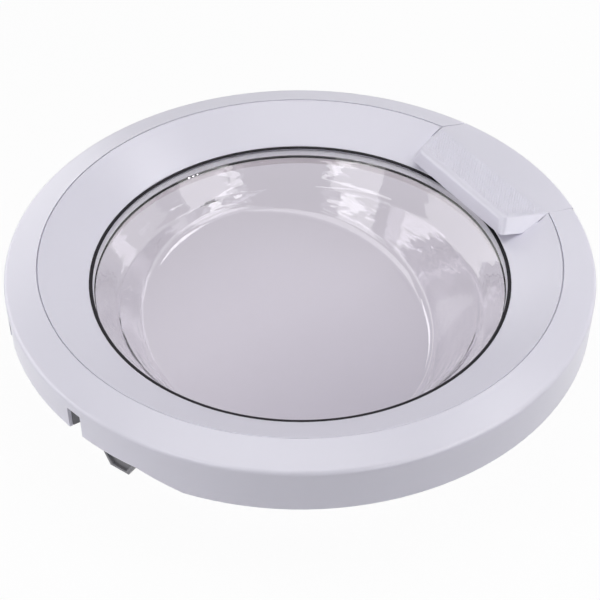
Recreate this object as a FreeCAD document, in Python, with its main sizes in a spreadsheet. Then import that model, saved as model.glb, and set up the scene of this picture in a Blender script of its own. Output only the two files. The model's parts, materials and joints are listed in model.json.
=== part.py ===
"""Round front-loader washing machine door, as a parametric document in millimetres.

Every piece is drawn about the door's own axis, with z = 0 in the plane of the rim's front edge,
+X from the hinge side to the handle, +Y up as the door hangs in use and +Z out of its front.
A Placement then puts the middle of the hinge bolt pattern at the origin.
"""
import FreeCAD, Part
import math
import os
import re
import Sketcher

SIZES = {
    # outer frame
    "rim_r": 217, "rim_depth": 34.5, "rim_ease": 1.5, "crown_rise": 6.2, "crown_width": 24.5,
    "seam_gap": 0.6, "shell": 2.5, "skin_root": 1.5, "fit_gap": 0.3,
    # hinge side
    "hinge_inset": 24, "arm_y": 52, "arm_width": 12.5, "arm_roof": 8, "relief_z": 26.5,
    "relief_y": 102, "relief_ramp": 29, "relief_clear": 6, "socket_step": 6,
    "insert_length": 24, "insert_thick": 2.5, "insert_fit": 0.1, "bolt_pitch": 14,
    "bolt_hole_r": 2.1, "bolt_pass_r": 2.75,
    # guide lugs
    "lug_angle": 22.8, "lug_inset": 5.5, "lug_thick": 8, "lug_drop": 19, "lug_top": 35,
    "lug_foot": 16, "lug_border": 2.2, "lug_recess": 2.5,
    # trim ring and gasket
    "opening_inset": 60, "opening_drop": 16.3, "trim_lip": 3.7, "trim_flange": 7.5,
    "flange_fit": 0.1, "gasket": 2, "gasket_lip": 1.4,
    # finger cup
    "cup_half": 50, "cup_floor": 14, "cup_inset": 32,
    # glass
    "flange_width": 13, "glass": 5, "mouth_inset": 6.4, "wall_angle": 35.2, "bowl_depth": 64.7,
    "floor_angle": 15, "floor_round": 22, "shoulder_ease": 3,
    # rear frame
    "seat_inset": 1, "screws_side": 3, "first_screw": 40, "last_screw": 136, "screw_inset": 11,
    "boss_half": 4, "pilot_r": 1.5, "pilot_depth": 16, "screw_pass_r": 2,
    # screws
    "screw_r": 1.45, "screw_length": 16, "head_r": 3.6, "head_height": 2,
    # handle lever
    "handle_half": 67, "split_gap": 0.5, "nose_reach": 9, "nose_taper": 14, "nose_lean": 5,
    "nose_ease": 1.8, "facet_slope": 62, "lever_drop": 12.7, "lever_skin": 3, "lever_skirt": 11,
    "skirt_slot": 6, "lever_clear": 0.6, "well_inset": 5, "ear_width": 7, "ear_inset": 27,
    # handle pin and spring
    "pin_inset": 19, "pin_drop": 6, "pin_r": 3, "pin_fit": 0.02, "run_fit": 0.05, "cheek": 4,
    "cheek_reach": 9.5, "cheek_back": 5, "cheek_drop": 12,
    "spring_wire_r": 0.7, "spring_coil_r": 4.6, "spring_turns": 4, "spring_y": 40,
    # latch hook
    "hook_offset": 3, "hook_drop": 24, "hook_half": 3.5, "hook_pin_r": 2.5, "hook_eye_r": 5,
    "hook_length": 37, "hook_shank": 7, "hook_nose": 9, "hook_tip": 8, "tail_rise": 11,
    "tail_face": 0.4, "tail_thick": 4.4, "push_gap": 0.8, "push_thick": 2.5, "push_half": 3,
    "push_drop": 16, "hook_room": 11, "box_wall": 3, "box_gap": 0.7, "box_back": 10.5,
    "box_front": 8, "box_top": 16, "hook_wire_r": 0.55, "hook_coil_r": 3.9, "hook_turns": 4,
}
PLACES = {
    "seam_r": "rim_r - crown_width", "hinge_x": "rim_r - hinge_inset",
    "opening_r": "rim_r - opening_inset", "relief_step_x": "flange_r + relief_clear",
    "relief_foot_y": "relief_y + relief_ramp",
    "socket_end_x": "relief_step_x + socket_step", "lug_r": "rim_r - lug_inset",
    "trim_flange_r": "seam_r + trim_flange", "cup_end_x": "rim_r - cup_inset",
    "flange_r": "opening_r + flange_width", "mouth_r": "opening_r - mouth_inset",
    "seat_r": "opening_r + seat_inset", "screw_ring_r": "rim_r - screw_inset",
    "nose_x": "opening_r - nose_reach", "nose_half": "handle_half - nose_taper",
    "well_half": "nose_half - well_inset", "ear_half": "handle_half - ear_width",
    "ear_x": "rim_r - ear_inset", "pin_x": "rim_r - pin_inset", "hook_x": "pin_x + hook_offset",
    "hook_slot_end": "hook_x + hook_room", "box_back_x": "hook_x - box_back",
    "box_front_x": "hook_x + box_front",
}
CUT_MARGIN = 12
COIL_PITCH = 2.1
COIL_STEPS = 9
WIRE_SIDES = 5
ROUND_STEPS = 2
SCREW_SIDES = 10
PASS = 1

CROWN_SLOPE = "(crown_rise / (rim_r - seam_r))"
TRIM_SLOPE = "((crown_rise + opening_drop) / (seam_r - opening_r))"
SEAM_OUT = "(seam_r + seam_gap / 2)"
SEAM_IN = "(seam_r - seam_gap / 2)"
UNDER_SLOPE = f"(crown_rise / (rim_r - shell - {SEAM_OUT}))"
SEAM_X = "sqrt(seam_r ^ 2 - handle_half ^ 2)"
LIP_FOOT = "(opening_drop + trim_lip)"
GLASS_TOP = f"({LIP_FOOT} + gasket)"
GLASS_FOOT = f"({GLASS_TOP} + glass)"
FRAME_EDGE = "(rim_r - shell - fit_gap)"
PLATE_TOP = "(rim_depth - shell)"
SPLIT_Y = "(handle_half + split_gap)"
INSERT_SEAT = "(arm_roof - shell)"
TRIM_CUT_X = "(cup_end_x + shell)"
SPRING_ROOM = f"(({COIL_PITCH} * hook_turns + 3) * hook_wire_r)"

doc = FreeCAD.newDocument("washer_door")
sheet = doc.addObject("Spreadsheet::Sheet", "Sizes")
for row, (alias, size) in enumerate(SIZES.items(), start=1):
    sheet.set(f"A{row}", alias)
    sheet.set(f"B{row}", str(size))
    sheet.setAlias(f"B{row}", alias)
doc.recompute()


def bound(text):
    """Return an expression in which each size is a cell of the sheet, and each place is worked out."""
    def cell(word):
        name = word[0]
        if name in PLACES:
            return f"({bound(PLACES[name])})"
        return f"Sizes.{name}" if name in SIZES else name

    return re.sub(r"[a-z_]+", cell, text)


def value(text):
    """Return the number that an expression of sizes gives."""
    return float(sheet.evalExpression(bound(text)))


def crown_z(radius):
    """Return the height of the frame's front cone at a radius."""
    return f"(crown_rise - {CROWN_SLOPE} * ({radius} - seam_r))"


def trim_z(radius):
    """Return the height of the trim ring's sloped front at a radius."""
    return f"({TRIM_SLOPE} * ({radius} - opening_r) - opening_drop)"


def new_body(label):
    """Start a piece whose Placement carries it from the door's axis to the hinge mount."""
    body = doc.addObject("PartDesign::Body", label)
    body.Label = label
    body.setExpression("Placement.Base.x", bound("hinge_x"))
    body.setExpression("Placement.Base.z", bound(INSERT_SEAT))
    return body


def new_sketch(body, name, role, offset="0"):
    """Attach a sketch to one of the body's own planes, moved along that plane's normal."""
    sketch = body.newObject("Sketcher::SketchObject", name)
    plane = next(item for item in body.Origin.OriginFeatures if item.Role == role)
    sketch.AttachmentSupport = [(plane, "")]
    sketch.MapMode = "FlatFace"
    sketch.setExpression("AttachmentOffset.Base.z", bound(offset))
    return sketch


def fix_point(sketch, geometry, end, across, along):
    """Tie one point of the sketch to two expressions, measured from the sketch's origin."""
    for kind, text in (("DistanceX", across), ("DistanceY", along)):
        place = sketch.addConstraint(Sketcher.Constraint(kind, -1, 1, geometry, end, value(text)))
        sketch.setExpression(f"Constraints[{place}]", bound(text))


def add_outline(sketch, points):
    """Draw a closed outline through points given as pairs of expressions."""
    corners = [FreeCAD.Vector(value(across), value(along), 0) for across, along in points]
    first = sketch.GeometryCount
    count = len(points)
    for index, corner in enumerate(corners):
        sketch.addGeometry(Part.LineSegment(corner, corners[(index + 1) % count]), False)
    for index, (across, along) in enumerate(points):
        following = first + (index + 1) % count
        sketch.addConstraint(Sketcher.Constraint("Coincident", first + index, 2, following, 1))
        fix_point(sketch, first + index, 1, across, along)


def add_circle(sketch, across, along, radius):
    """Draw a circle whose centre and radius are expressions."""
    centre = FreeCAD.Vector(value(across), value(along), 0)
    circle = Part.Circle(centre, FreeCAD.Vector(0, 0, 1), value(radius))
    index = sketch.addGeometry(circle, False)
    fix_point(sketch, index, 3, across, along)
    place = sketch.addConstraint(Sketcher.Constraint("Radius", index, value(radius)))
    sketch.setExpression(f"Constraints[{place}]", bound(radius))


def add_ellipse(sketch, along, tall, wide):
    """Draw an ellipse on the sketch's upright axis, from its centre height and two half widths."""
    centre = FreeCAD.Vector(0, value(along), 0)
    top = centre + FreeCAD.Vector(0, value(tall), 0)
    side = centre + FreeCAD.Vector(value(wide), 0, 0)
    index = sketch.addGeometry(Part.Ellipse(top, side, centre), False)
    sketch.exposeInternalGeometry(index)
    fix_point(sketch, index, 3, "0", along)
    sketch.addConstraint(Sketcher.Constraint("Vertical", index + 1))
    for line, half in ((index + 1, tall), (index + 2, wide)):
        place = sketch.addConstraint(Sketcher.Constraint("Distance", line, 2 * value(half)))
        sketch.setExpression(f"Constraints[{place}]", bound(f"2 * ({half})"))


def rectangle(left, right, low, high):
    """Return the four corners of a rectangle in a sketch."""
    return [(left, low), (right, low), (right, high), (left, high)]


def checked(body, feature, cuts, before):
    """Rebuild the body and stop if the new feature failed or changed nothing."""
    doc.recompute()
    after = body.Shape.Volume
    worked = after < before if cuts else after > before
    if not feature.isValid() or not worked:
        raise RuntimeError(f"{body.Label}: {feature.Name} changed {before:.1f} to {after:.1f}")
    return feature


def volume_of(body):
    """Return the body's volume so far, or nothing before its first feature."""
    return body.Shape.Volume if body.Tip else 0.0


def revolve(body, name, points, cuts=False):
    """Turn an outline of radii and heights about the door's axis, to add or to cut."""
    before = volume_of(body)
    sketch = new_sketch(body, f"{name}_outline", "XZ_Plane")
    add_outline(sketch, points)
    feature = body.newObject("PartDesign::Groove" if cuts else "PartDesign::Revolution", name)
    feature.Profile = sketch
    feature.ReferenceAxis = (sketch, ["V_Axis"])
    feature.Angle = 360
    return checked(body, feature, cuts, before)


def extrude(body, name, sketch, length=None, cuts=False, reverse=False, symmetric=False):
    """Pad or pocket a sketch, through everything where no length is given."""
    before = volume_of(body)
    feature = body.newObject("PartDesign::Pocket" if cuts else "PartDesign::Pad", name)
    feature.Profile = sketch
    feature.SideType = "Symmetric" if symmetric else "One side"
    feature.Reversed = reverse
    if length is None:
        feature.Type = "ThroughAll"
    else:
        feature.setExpression("Length", bound(length))
    return checked(body, feature, cuts, before)


def block(body, name, role, offset, points, length=None, **ways):
    """Pad or pocket one closed outline drawn on a plane of the body."""
    sketch = new_sketch(body, f"{name}_outline", role, offset)
    add_outline(sketch, points)
    return extrude(body, name, sketch, length, **ways)


def ease_edges(body, name, size, chosen):
    """Ease the edges of the piece so far that a test picks out."""
    base = body.Tip
    edges = [f"Edge{place}" for place, edge in enumerate(base.Shape.Edges, 1) if chosen(edge)]
    if not edges:
        raise RuntimeError(f"{body.Label}: {name} finds no edge")
    ease = body.newObject("PartDesign::Chamfer", name)
    ease.Base = (base, edges)
    ease.setExpression("Size", bound(size))
    doc.recompute()
    return ease


def on_plane(point, normal):
    """Return a test for edges that lie in a plane."""
    def chosen(edge):
        ends = [edge.valueAt(edge.FirstParameter), edge.valueAt(edge.LastParameter)]
        middle = edge.valueAt((edge.FirstParameter + edge.LastParameter) / 2)
        return all(abs((spot - point).dot(normal)) < 1e-4 for spot in [*ends, middle])

    return chosen


def screw_spots():
    """Return the places of the frame screws as pairs of expressions."""
    count = int(value("screws_side"))
    spots = []
    for side in ("", "0 - "):
        for index in range(count):
            angle = f"(first_screw + {index} * (last_screw - first_screw) / (screws_side - 1))"
            spots.append((f"screw_ring_r * cos({angle})", f"{side}screw_ring_r * sin({angle})"))
    return spots


def relief_outline(grow):
    """Return the hinge relief's section across the door, widened by a wall thickness."""
    foot = f"0 - rim_depth - {CUT_MARGIN} * ({grow} == 0 ? 1 : 0)"
    return [
        (f"0 - relief_foot_y - {grow}", "0 - rim_depth"), (f"0 - relief_y - {grow}", f"{grow} - relief_z"),
        (f"relief_y + {grow}", f"{grow} - relief_z"), (f"relief_foot_y + {grow}", "0 - rim_depth"),
        (f"relief_foot_y + {grow}", foot), (f"0 - relief_foot_y - {grow}", foot),
    ]


def build_outer_frame():
    """Front ring with its rim wall, handle gap, pin cheeks, screw bosses and hinge notches."""
    body = new_body("outer_frame")
    eased_r = "(rim_r - rim_ease)"
    revolve(body, "frame_ring", [
        ("rim_r", "0 - rim_ease"), (eased_r, crown_z(eased_r)),
        (SEAM_OUT, "crown_rise"), (SEAM_OUT, "crown_rise - shell"),
        ("rim_r - shell", "0 - shell"), ("rim_r - shell", "0 - rim_depth"), ("rim_r", "0 - rim_depth"),
    ])

    gap = rectangle("opening_r", f"rim_r + {CUT_MARGIN}", f"0 - {SPLIT_Y}", SPLIT_Y)
    block(body, "handle_gap", "XY_Plane", "0 - lever_skirt - skirt_slot", gap, cuts=True, reverse=True)
    inner_x = "(pin_x - cheek_reach)"
    outer_x = "(pin_x + cheek_back)"
    middle_y = f"({SPLIT_Y} + cheek / 2)"
    tops = [f"{crown_z(f'sqrt({x} ^ 2 + {middle_y} ^ 2)')} - skin_root" for x in (inner_x, outer_x)]
    cheek = [(inner_x, tops[0]), (inner_x, "0 - cheek_drop"), (outer_x, "0 - cheek_drop"), (outer_x, tops[1])]
    block(body, "upper_cheek", "XZ_Plane", f"0 - {SPLIT_Y}", cheek, "cheek", reverse=True)
    block(body, "lower_cheek", "XZ_Plane", SPLIT_Y, cheek, "cheek")
    hole = new_sketch(body, "pin_hole_outline", "XZ_Plane")
    add_circle(hole, "pin_x", "0 - pin_drop", "pin_r + pin_fit")
    extrude(body, "pin_hole", hole, f"2 * ({SPLIT_Y} + cheek + {PASS})", cuts=True, symmetric=True)

    boss_top = f"{crown_z('screw_ring_r')} - skin_root"
    bosses = new_sketch(body, "boss_outline", "XY_Plane", boss_top)
    pilots = new_sketch(body, "pilot_outline", "XY_Plane", f"0 - {PLATE_TOP}")
    for across, along in screw_spots():
        sides = [f"{spot} {sign} boss_half" for spot in (across, along) for sign in "-+"]
        add_outline(bosses, rectangle(*sides))
        add_circle(pilots, across, along, "pilot_r")
    extrude(body, "bosses", bosses, f"{boss_top} + {PLATE_TOP}", reverse=True)
    extrude(body, "pilots", pilots, "pilot_depth", cuts=True, reverse=True)

    notches = new_sketch(body, "notch_outline", "YZ_Plane")
    for side in ("arm_y", "0 - arm_y"):
        low = f"{side} - arm_width / 2"
        high = f"{side} + arm_width / 2"
        add_outline(notches, rectangle(low, high, f"0 - rim_depth - {PASS}", "0 - arm_roof"))
    extrude(body, "notches", notches, cuts=True)
    block(body, "hinge_relief", "YZ_Plane", "0", relief_outline("0"), cuts=True)
    return body


def build_trim_ring():
    """Sloped ring between the crest and the glass, with the handle's finger cup moulded in."""
    body = new_body("trim_ring")
    inner_r = "(opening_r + shell)"
    outer_r = f"({SEAM_IN} - shell)"
    drop = f"(shell * sqrt(1 + {TRIM_SLOPE} ^ 2))"

    def flange_z(radius):
        return f"(crown_rise - shell - flange_fit - {UNDER_SLOPE} * ({radius} - {SEAM_OUT}))"

    face = [(SEAM_IN, "crown_rise"), ("opening_r", "0 - opening_drop")]
    shoulder = [("trim_flange_r", flange_z("trim_flange_r")), (SEAM_IN, flange_z(SEAM_IN))]
    revolve(body, "trim_section", [
        *face, ("opening_r", f"0 - {LIP_FOOT}"), (inner_r, f"0 - {LIP_FOOT}"),
        (inner_r, f"{trim_z(inner_r)} - {drop}"), (outer_r, f"{trim_z(outer_r)} - {drop}"), *shoulder,
    ])
    wall_y = "(cup_half + shell)"
    cup_block = rectangle("mouth_r", TRIM_CUT_X, f"0 - {wall_y}", wall_y)
    cup_foot = "0 - cup_floor - shell"
    block(body, "cup_block", "XY_Plane", cup_foot, cup_block, "cup_floor + shell + crown_rise")
    above = f"crown_rise + {CUT_MARGIN}"
    far = f"rim_r + {CUT_MARGIN}"
    revolve(body, "front_surface", [
        ("0", above), ("0", "0 - rim_depth"), ("opening_r", "0 - rim_depth"), *reversed(face),
        *reversed(shoulder), (far, flange_z("trim_flange_r")), (far, above),
    ], cuts=True)
    cup = rectangle("mouth_r", "cup_end_x", "0 - cup_half", "cup_half")
    block(body, "finger_cup", "XY_Plane", "0 - cup_floor", cup, cuts=True, reverse=True)
    crest = rectangle("opening_r", far, f"0 - {SPLIT_Y}", SPLIT_Y)
    block(body, "crest_relief", "XY_Plane", "0", crest, cuts=True, reverse=True)
    return body


def build_gasket():
    """Flat seal between the trim ring's lip and the glass flange."""
    body = new_body("glass_gasket")
    section = rectangle("opening_r - gasket_lip", "flange_r", f"0 - {GLASS_TOP}", f"0 - {LIP_FOOT}")
    revolve(body, "gasket_ring", section)
    return body


def slanted_sketch(body, name, depth):
    """Start a sketch parallel to the bowl's slanted floor, at a depth below the mouth."""
    sketch = new_sketch(body, name, "XY_Plane", f"0 - {GLASS_TOP} - {depth}")
    about_x = FreeCAD.Rotation(FreeCAD.Vector(1, 0, 0), value("floor_angle"))
    sketch.AttachmentOffset = FreeCAD.Placement(sketch.AttachmentOffset.Base, about_x)
    sketch.setExpression("AttachmentOffset.Rotation.Angle", bound("floor_angle"))
    return sketch


def bowl_volume(body, name, top, grow):
    """Fill a conical bowl with a slanted floor, rounded in steps, grown by a wall thickness."""
    round_r = f"(floor_round + {grow})"
    corner = f"({round_r} * tan((90 - wall_angle) / 2))"
    skew = "(tan(wall_angle) * tan(floor_angle))"
    squeeze = f"(1 - {skew} ^ 2)"

    def turn(step):
        return f"((90 - wall_angle) * {step} / {ROUND_STEPS})"

    def depth(step):
        height = f"{round_r} * (1 - cos({turn(step)}))"
        return f"(bowl_depth + ({grow} - {height}) / cos(floor_angle))"

    def wall_r(drop):
        return f"(mouth_r + {grow} / cos(wall_angle) - {drop} * tan(wall_angle))"

    deep = f"(bowl_depth + mouth_r * tan(floor_angle) + {grow})"
    foot = f"0 - {GLASS_TOP} - {deep}"
    revolve(body, f"{name}_cone", [*top, (wall_r(deep), foot), ("0", foot)])
    below = slanted_sketch(body, f"{name}_below", depth(ROUND_STEPS))
    add_circle(below, "0", "0", "flange_r")
    wall = extrude(body, f"{name}_wall", below, cuts=True)

    angle = math.radians(value("floor_angle"))
    level = FreeCAD.Vector(0, 0, -value(f"{GLASS_TOP} + {depth(ROUND_STEPS)}"))
    normal = FreeCAD.Vector(0, -math.sin(angle), math.cos(angle))
    distances = [abs((face.CenterOfMass - level).dot(normal)) for face in wall.Shape.Faces]
    mouth = f"Face{distances.index(min(distances)) + 1}"
    rings = []
    for step in range(ROUND_STEPS - 1, -1, -1):
        height = f"{round_r} * (1 - cos({turn(step)}))"
        inset = f"({corner} + {height} * tan(wall_angle) - {round_r} * sin({turn(step)}))"
        ring = slanted_sketch(body, f"{name}_round_{step}", depth(step))
        tall = f"{wall_r(depth(step))} / ({squeeze} * cos(floor_angle))"
        wide = f"{wall_r(depth(step))} / sqrt({squeeze})"
        add_ellipse(ring, f"{tall} * {skew}", f"{tall} - {inset}", f"{wide} - {inset}")
        rings.append(ring)
    before = volume_of(body)
    floor = body.newObject("PartDesign::AdditiveLoft", f"{name}_floor")
    floor.Profile = (wall, [mouth])
    floor.Sections = rings
    floor.Ruled = True
    checked(body, floor, False, before)


def build_glass():
    """Pressed glass bowl with a flat flange, an eased shoulder and a slanted floor."""
    body = new_body("glass_bowl")
    level = f"0 - {GLASS_TOP}"
    neck_r = "(mouth_r + glass / cos(wall_angle) - glass * tan(wall_angle))"
    flange = [
        ("0", level), ("flange_r", level), ("flange_r", f"0 - {GLASS_FOOT}"), (neck_r, f"0 - {GLASS_FOOT}"),
    ]
    bowl_volume(body, "outside", flange, "glass")
    cavity = doc.addObject("PartDesign::Body", "bowl_cavity")
    eased_r = "mouth_r - shoulder_ease * sin(wall_angle)"
    eased = (eased_r, f"{level} - shoulder_ease * cos(wall_angle)")
    bowl_volume(cavity, "inside", [("0", level), ("mouth_r + shoulder_ease", level), eased], "0")
    before = volume_of(body)
    hollow = body.newObject("PartDesign::Boolean", "hollow")
    hollow.Type = "Cut"
    hollow.setObjects([cavity])
    checked(body, hollow, True, before)
    return body


def build_rear_frame():
    """Grey clamp ring with the glass seat, hinge-arm sockets, guide lugs and latch box."""
    body = new_body("rear_frame")
    rear = "0 - rim_depth"
    seat_wall = "(seat_r + shell)"
    stop_r = "(flange_r + fit_gap)"
    revolve(body, "clamp_ring", [
        ("seat_r", f"0 - {GLASS_FOOT}"), (f"{stop_r} + shell", f"0 - {GLASS_FOOT}"),
        (f"{stop_r} + shell", f"0 - {PLATE_TOP}"),
        (FRAME_EDGE, f"0 - {PLATE_TOP}"), (FRAME_EDGE, rear), (stop_r, rear),
        (stop_r, f"0 - {GLASS_FOOT} - shell"), (seat_wall, f"0 - {GLASS_FOOT} - shell"),
        (seat_wall, rear), ("seat_r", rear),
    ])
    reach = "rim_r"
    step = "(shell - relief_step_x)"
    floor = relief_outline("shell")[:4]
    block(body, "relief_floor", "YZ_Plane", step, floor, f"{reach} + {step}", reverse=True)
    socket_y = "(arm_width / 2 + shell)"
    socket_top = f"insert_thick - {INSERT_SEAT}"
    sockets = new_sketch(body, "socket_outline", "XY_Plane", "0 - relief_z")
    for side in ("arm_y", "0 - arm_y"):
        low = f"{side} - {socket_y}"
        high = f"{side} + {socket_y}"
        add_outline(sockets, rectangle(f"0 - {reach}", "shell - socket_end_x", low, high))
    extrude(body, "sockets", sockets, f"relief_z + {socket_top}")
    revolve(body, "frame_fit", rectangle(FRAME_EDGE, "2 * rim_r", f"{rear} - {PASS}", "0"), cuts=True)
    block(body, "relief", "YZ_Plane", "0 - relief_step_x", relief_outline("0"), cuts=True)

    arms = new_sketch(body, "arm_outline", "XY_Plane", "0 - arm_roof")
    beds = new_sketch(body, "bed_outline", "XY_Plane", f"0 - {INSERT_SEAT}")
    passes = new_sketch(body, "bolt_pass_outline", "XY_Plane", "0")
    bed_x = "(insert_length / 2 + insert_fit)"
    for side in ("arm_y", "0 - arm_y"):
        low = f"{side} - arm_width / 2"
        high = f"{side} + arm_width / 2"
        add_outline(arms, rectangle(f"0 - rim_r - {CUT_MARGIN}", "0 - socket_end_x", low, high))
        add_outline(beds, rectangle(f"0 - hinge_x - {bed_x}", f"{bed_x} - hinge_x", low, high))
        for bolt in ("0 - bolt_pitch / 2", "bolt_pitch / 2"):
            add_circle(passes, f"{bolt} - hinge_x", side, "bolt_pass_r")
    extrude(body, "arm_sockets", arms, cuts=True)
    extrude(body, "insert_beds", beds, cuts=True, reverse=True)
    extrude(body, "bolt_passes", passes, cuts=True)

    holes = new_sketch(body, "screw_pass_outline", "XY_Plane", "0")
    for across, along in screw_spots():
        add_circle(holes, across, along, "screw_pass_r")
    extrude(body, "screw_passes", holes, cuts=True)
    for side, sign in (("upper", 1), ("lower", -1)):
        add_lug(body, side, f"180 - {sign} * lug_angle")
    add_latch_box(body)
    return body


def add_lug(body, side, angle):
    """Hang one tapered guide lug under the hinge relief, facing outwards at an angle."""
    def facing(name):
        sketch = new_sketch(body, name, "YZ_Plane", f"lug_r * cos({angle})")
        sketch.AttachmentOffset = FreeCAD.Placement(
            FreeCAD.Vector(0, 0, 0), FreeCAD.Rotation(FreeCAD.Vector(0, 1, 0), value(angle)))
        sketch.setExpression("AttachmentOffset.Base.x", bound(f"lug_r * sin({angle})"))
        sketch.setExpression("AttachmentOffset.Base.z", bound(f"lug_r * cos({angle})"))
        return sketch

    def taper(border):
        top = f"shell / 2 - relief_z - {border} - ({border} == 0 ? 0 : shell / 2)"
        foot = f"{border} - relief_z - lug_drop"
        return [
            (f"{border} - lug_top / 2", top), (f"{border} - lug_foot / 2", foot),
            (f"lug_foot / 2 - {border}", foot), (f"lug_top / 2 - {border}", top),
        ]

    plate = facing(f"{side}_lug_outline")
    add_outline(plate, taper("0"))
    extrude(body, f"{side}_lug", plate, "lug_thick", reverse=True)
    recess = facing(f"{side}_lug_recess_outline")
    add_outline(recess, taper("lug_border"))
    extrude(body, f"{side}_lug_recess", recess, "lug_recess", cuts=True)


def add_latch_box(body):
    """Add the walls that carry the hook's pin, and the slot that the hook swings in."""
    near = "(0 - hook_half - box_gap)"
    far = f"(hook_half + box_gap + {SPRING_ROOM})"
    floor = f"0 - {PLATE_TOP}"
    rise = f"{PLATE_TOP} - box_top"
    walls = new_sketch(body, "latch_box_outline", "XY_Plane", floor)
    add_outline(walls, rectangle("box_back_x", "box_front_x", f"{near} - box_wall", f"{far} + box_wall"))
    extrude(body, "latch_box", walls, rise)
    inside = rectangle("box_back_x + box_wall", f"box_front_x + {CUT_MARGIN}", near, far)
    block(body, "latch_room", "XY_Plane", floor, inside, cuts=True, reverse=True)
    slot = rectangle("hook_x - hook_shank / 2 - hook_nose - box_gap", "hook_slot_end", near, "0 - " + near)
    block(body, "hook_slot", "XY_Plane", f"{PASS} - {PLATE_TOP}", slot, cuts=True)
    hole = new_sketch(body, "hook_pin_hole_outline", "XZ_Plane")
    add_circle(hole, "hook_x", "0 - hook_drop", "hook_pin_r + pin_fit")
    extrude(body, "hook_pin_hole", hole, f"2 * ({far} + box_wall + {PASS})", cuts=True, symmetric=True)


def build_insert(label, side):
    """Tapped steel plate that takes the bolts of one hinge arm."""
    body = new_body(label)
    half_x = "insert_length / 2"
    half_y = "(arm_width / 2 - insert_fit)"
    low = f"{side} - {half_y}"
    high = f"{side} + {half_y}"
    edges = rectangle(f"0 - hinge_x - {half_x}", f"{half_x} - hinge_x", low, high)
    block(body, f"{label}_plate", "XY_Plane", f"0 - {INSERT_SEAT}", edges, "insert_thick")
    holes = new_sketch(body, f"{label}_bolt_outline", "XY_Plane", "0")
    for bolt in ("0 - bolt_pitch / 2", "bolt_pitch / 2"):
        add_circle(holes, f"{bolt} - hinge_x", side, "bolt_hole_r")
    extrude(body, f"{label}_bolts", holes, cuts=True)
    return body


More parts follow.
